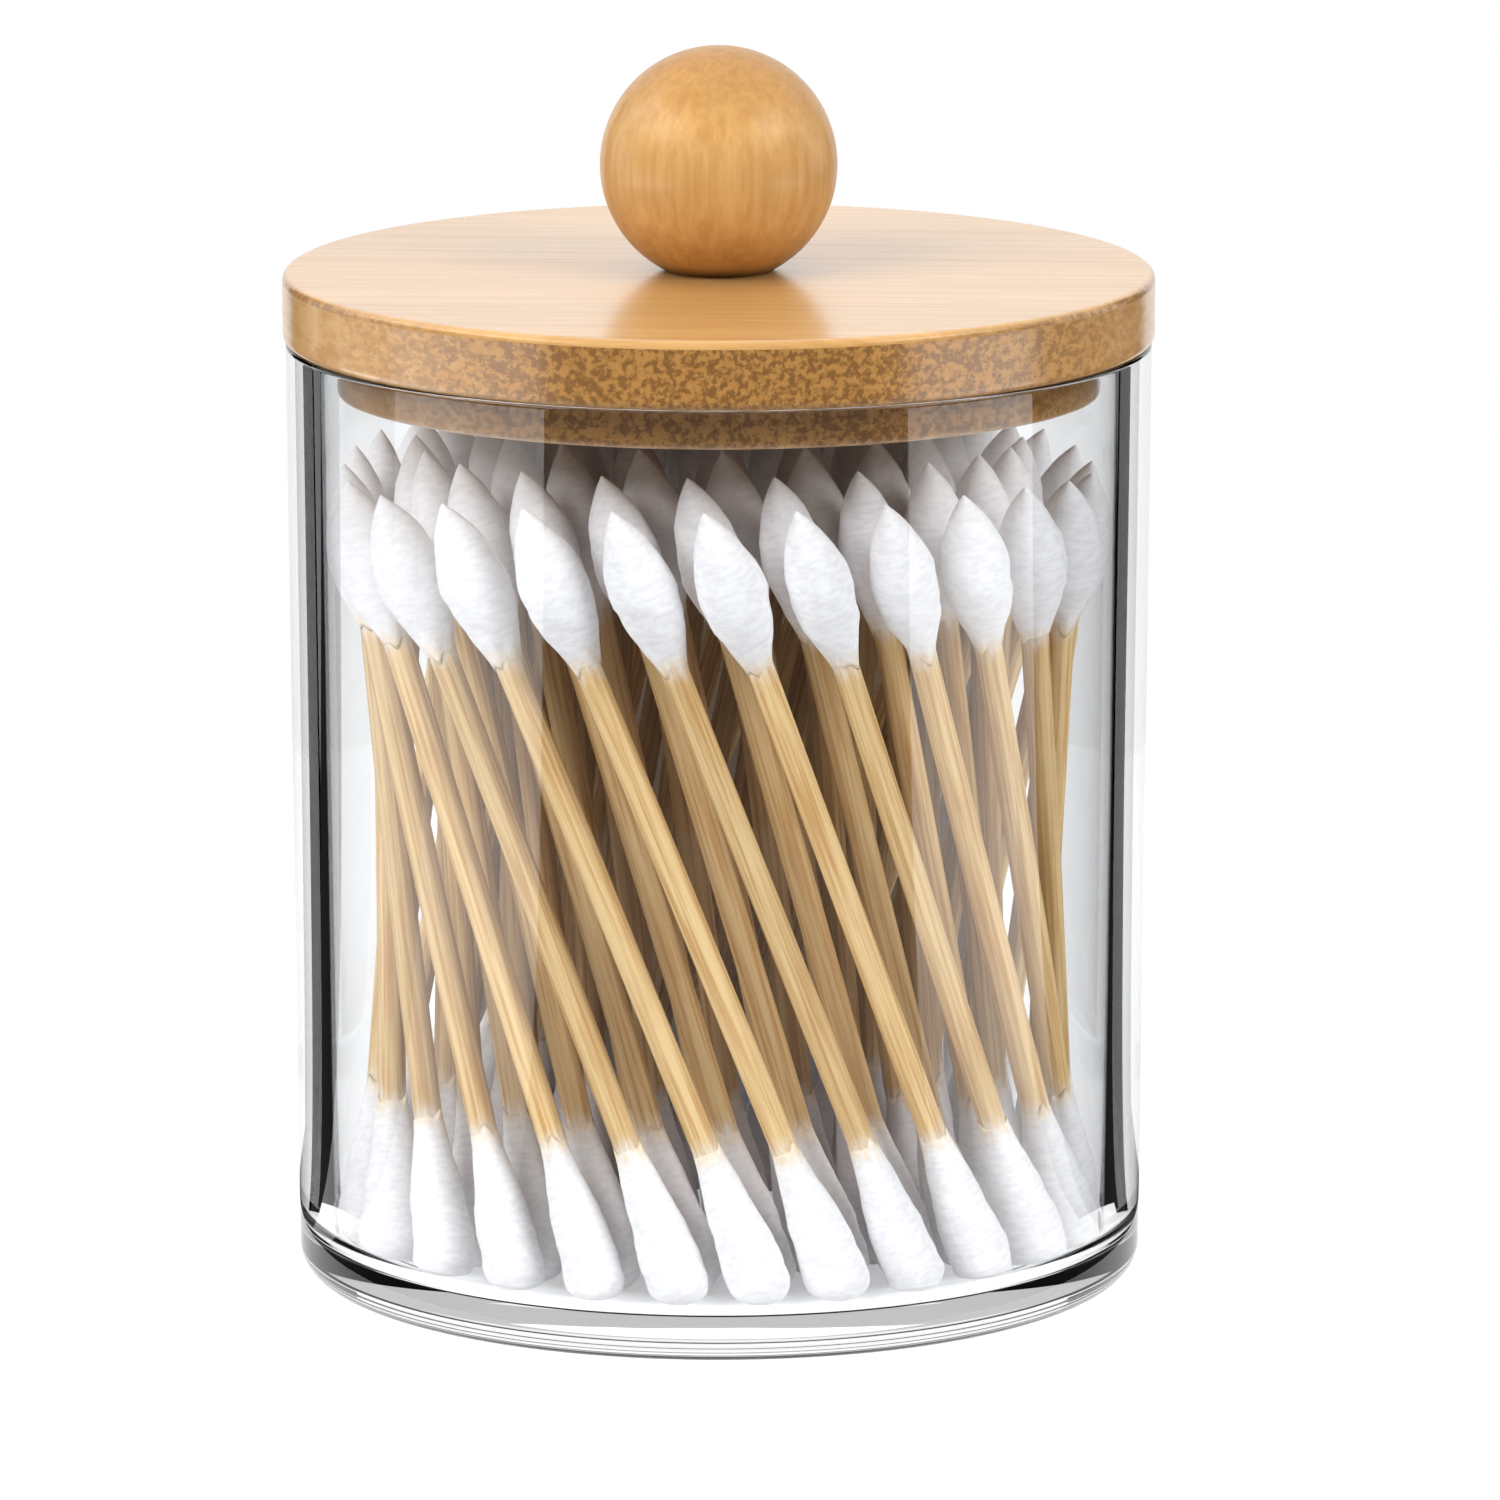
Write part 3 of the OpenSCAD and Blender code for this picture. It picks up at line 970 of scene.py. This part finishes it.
def along_span(span, steps):
    """A column of values from the first to the second of a span, or of one value repeated."""
    return np.linspace(*np.broadcast_to(span, 2), steps)[:, None]


def sector(radii, angles, heights, steps=24, centre=0.0):
    """A grid over a ring sector about a place on the X axis: radius and height go along their spans by
    rows, and the angle by columns."""
    turn = np.radians(along_span(angles, steps)).T
    radius = along_span(radii, 8)
    places = (centre + radius * np.sin(turn), radius * np.cos(turn), along_span(heights, 8))
    return np.stack(np.broadcast_arrays(*places), axis=-1)


def strip(across, depths, heights):
    """A grid of four corners: across X by columns, and along the spans of depth and height by rows."""
    return np.stack(np.broadcast_arrays(across, along_span(depths, 2), along_span(heights, 2)), axis=-1)


def glow_finish(name, strength, colour=(1.0, 1.0, 1.0), reach=None):
    """A sheet that only shines, as a soft light does in a reflection. With a reach it lies on the floor,
    and falls to plain white close to the jar and towards the reach."""
    recipe = material(name)
    if reach:
        out = recipe.distance()
        strength = 1 + (strength - 1) * out.step(0.06, 0.2) * out.step(0.56 * reach, reach, 1, 0)
    shine = recipe.node("ShaderNodeEmission", None, {"Color": paint(colour), "Strength": strength})
    glow = recipe.shown(shine)
    glow.cycles.emission_sampling = "NONE"
    return glow


def floor_finish():
    """White floor. The eye, mirrors and glass see a lit share that takes the shadow and a plain share that
    brings it up to white, glass mostly the lit share close to the foot. Mirrored rays see a dim front. The
    light that it throws back is a white floor's."""
    recipe = material("studio_floor")
    eye = recipe.light_path("Is Camera Ray", "Is Glossy Ray", "Is Transmission Ray")
    close = recipe.light_path("Is Transmission Ray") * recipe.distance().step(0.04, 0.1, 1, 0)
    front = recipe.axes(recipe.object_place())[1].step(-0.06, -0.02, 1, 0)
    colour = recipe.grey(0.8 - eye * (0.6 - close * 0.45))
    strength = eye * (0.87 - close * 0.22) * (1 - 0.9 * front * recipe.bounced())
    lit = recipe.node("ShaderNodeBsdfDiffuse", None, {"Color": colour})
    plain = recipe.node("ShaderNodeEmission", None, {"Strength": strength})
    floor = recipe.shown(recipe.node("ShaderNodeAddShader", None, {0: lit, 1: plain}))
    floor.cycles.emission_sampling = "NONE"
    return floor


def studio_world(strength):
    """White all round for the eye, and for glass that is looked straight through. White behind and dim in
    front for mirrors and for rays mirrored inside the glass. The light that it gives has a lower strength,
    which falls off towards the back."""
    world = bpy.data.worlds.new("studio_world")
    recipe = Recipe(world)
    depth = recipe.axes(recipe.node("ShaderNodeTexCoord", out="Generated"))[1]
    given = depth.step(-0.4, 0.6, strength, 0.7 * strength)
    mirrored = depth.step(-0.3, 0.35, 0.08, 1.0)
    unseen = given + (mirrored - given) * recipe.light_path("Is Glossy Ray")
    straight = recipe.light_path("Is Transmission Ray") * (1 - recipe.bounced())
    shown = unseen + (1 - unseen) * straight.most(recipe.light_path("Is Camera Ray"))
    sky = recipe.node("ShaderNodeBackground", None, {"Color": (1.0, 1.0, 1.0, 1.0), "Strength": shown})
    recipe.shown(sky, "ShaderNodeOutputWorld")
    bpy.context.scene.world = world


def soft_light(name, place, width, power):
    """A square soft light that faces the holder."""
    light = bpy.data.lights.new(name, "AREA")
    light.shape = "SQUARE"
    light.size = width
    light.energy = power
    lamp = bpy.data.objects.new(name, light)
    bpy.context.scene.collection.objects.link(lamp)
    way = np.array(place) - LIGHT_AIM
    tip = math.acos(way[2] / np.linalg.norm(way))
    lamp.location = place
    lamp.rotation_euler = (tip, 0.0, math.atan2(way[1], way[0]) + math.pi / 2)
    for kind in ("camera", *MIRRORS, *GLASS):
        setattr(lamp, f"visible_{kind}", False)


def add_reflections(inside):
    """Sheets that only mirrors see: soft lights at the sides, white behind and a dim floor in front."""
    strength = settings().studio.glow
    glow = glow_finish("studio_glow", strength)
    for side, angles in CARDS.items():
        card = sector(CARD_RADIUS, angles, CARD_HEIGHTS)
        stage_sheet(f"studio_glow_{side}", card, glow, MIRRORS)
    glow_low = glow_finish("studio_glow_low", strength, reach=2 * CARD_RADIUS)
    for side, angles in LOW_CARDS.items():
        low = sector((0.05, CARD_RADIUS), angles, MM)
        stage_sheet(f"studio_glow_low_{side}", low, glow_low, MIRRORS)
    back = sector(0.8, BACK_CARD, (0.02, 0.6))
    stage_sheet("studio_glow_back", back, glow_finish("studio_haze", 1.0), MIRRORS)
    apron = sector((0.045, CARD_RADIUS), FRONT_APRON, 0.5 * MM, 64)
    stage_sheet("studio_dim_low", apron, glow_finish("studio_dim", 0.08), MIRRORS)
    veil = sector((0.012, VEIL_REACH), VEIL, 0.9 * MM, centre=-inside)
    veil_glow = glow_finish("studio_veil", strength, reach=VEIL_REACH)
    stage_sheet("studio_veil_left", veil, veil_glow, MIRRORS)


def add_edges(inside):
    """Dark sheets beside the jar that draw dark lines in its wall: the near ones for mirrors and glass,
    the far ones for glass only."""
    dark = glow_finish("studio_dark", 0.0)
    for side, near in EDGES.items():
        centre = math.copysign(inside, near[0])
        far = (near[1], math.copysign(EDGES_END, near[0]))
        kinds = (("near", near, MIRRORS + GLASS, 0.016), ("far", far, GLASS, 0.02))
        for label, angles, seen_by, inner in kinds:
            low = sector((inner, EDGE_RADIUS), angles, MM, centre=centre)
            high = sector(EDGE_RADIUS, angles, (0, EDGE_RADIUS), centre=centre)
            stage_sheet(f"studio_dark_low_{side}_{label}", low, dark, seen_by)
            stage_sheet(f"studio_dark_{side}_{label}", high, dark, seen_by)


def add_background():
    """Sheets behind the jar that only glass sees: a dim brown sheet between the sticks, which is painted
    shade standing in for the shade inside the sheaf, and grey below that.
    """
    # Painted shade: a dim brown sheet that fills the gaps between the sticks, standing in for the shade
    # inside the dense sheaf
    behind = strip((-0.027, 0.028), BACK_DEPTH, (0.008, 0.064))
    stage_sheet("studio_dim_back", behind, glow_finish("studio_shade_brown", 0.1, BACK_SHADE_BROWN), GLASS)
    shelf = strip((-0.04, 0.04), (0.04, BACK_DEPTH - 0.5 * MM), SHELF_HEIGHT)
    stage_sheet("studio_shelf_back", shelf, glow_finish("studio_shelf", 0.6), GLASS)


def add_camera(scene):
    """The camera, placed and turned by the settings."""
    studio = settings().studio
    eye = bpy.data.cameras.new("studio_camera")
    eye.sensor_width = 36.0
    eye.lens = studio.lens
    eye.clip_start = 0.01
    camera = bpy.data.objects.new("studio_camera", eye)
    camera.location = studio.camera
    camera.rotation_euler = (math.pi / 2 - studio.pitch, 0.0, -studio.yaw)
    scene.collection.objects.link(camera)
    scene.camera = camera


class SWABHOLDER_OT_studio(Operator):
    """Makes the white floor, the soft lights with their reflections, the dark sheets that edge the clear
    jar, and the camera"""

    bl_idname = "swab_holder.studio"
    bl_label = "Studio"

    def execute(self, context):
        studio = settings().studio
        inside = JAR_TOP.x - settings().jar.wall
        floor = sector((0, FLOOR_RADIUS), (0, -360), FLOOR_HEIGHT, 96)
        stage_sheet("studio_floor", floor, floor_finish(), EVERYTHING)
        add_reflections(inside)
        add_edges(inside)
        add_background()
        studio_world(studio.ambient)
        soft_light("studio_left", (-0.6, -0.5, 0.66), 0.6, studio.left)
        soft_light("studio_right", (0.66, -0.45, 0.56), 0.5, studio.right)
        soft_light("studio_top", (0.0, 0.1, 0.95), 0.7, studio.top)
        add_camera(context.scene)
        context.scene.view_settings.view_transform = "Standard"
        return {"FINISHED"}


OPERATORS = (
    SWABHOLDER_OT_studio,
    SWABHOLDER_OT_clear_jar,
    SWABHOLDER_OT_bamboo_lid,
    SWABHOLDER_OT_ball_knob,
    SWABHOLDER_OT_steel_screw,
    SWABHOLDER_OT_cotton_swabs,
)


class SWABHOLDER_PT_sidebar(Panel):
    """Lists the pieces of the holder and their settings"""

    bl_idname = "SWABHOLDER_PT_sidebar"
    bl_label = "Swab holder"
    bl_space_type = "VIEW_3D"
    bl_region_type = "UI"
    bl_category = "Swab holder"

    def draw(self, context):
        for operator in OPERATORS:
            self.layout.operator(operator.bl_idname)
        for group in HolderSettings.__annotations__:
            box = self.layout.box()
            box.label(text=group.capitalize())
            values = getattr(context.scene.swab_holder, group)
            for name in values.__annotations__:
                box.prop(values, name)


CLASSES = (
    JarSizes, LidSizes, KnobSizes, SwabSizes, FinishSettings, StudioSettings, HolderSettings,
    *OPERATORS, SWABHOLDER_PT_sidebar,
)


def register():
    for made in CLASSES:
        bpy.utils.register_class(made)
    bpy.types.Scene.swab_holder = PointerProperty(type=HolderSettings)


def unregister():
    del bpy.types.Scene.swab_holder
    for made in reversed(CLASSES):
        bpy.utils.unregister_class(made)


def plain(box):
    """A box as plain lists of numbers."""
    return [[float(value) for value in corner] for corner in box]


def main():
    register()
    for operator in OPERATORS:
        getattr(bpy.ops.swab_holder, operator.bl_idname.split(".")[1])()


if __name__ == "__main__":
    main()
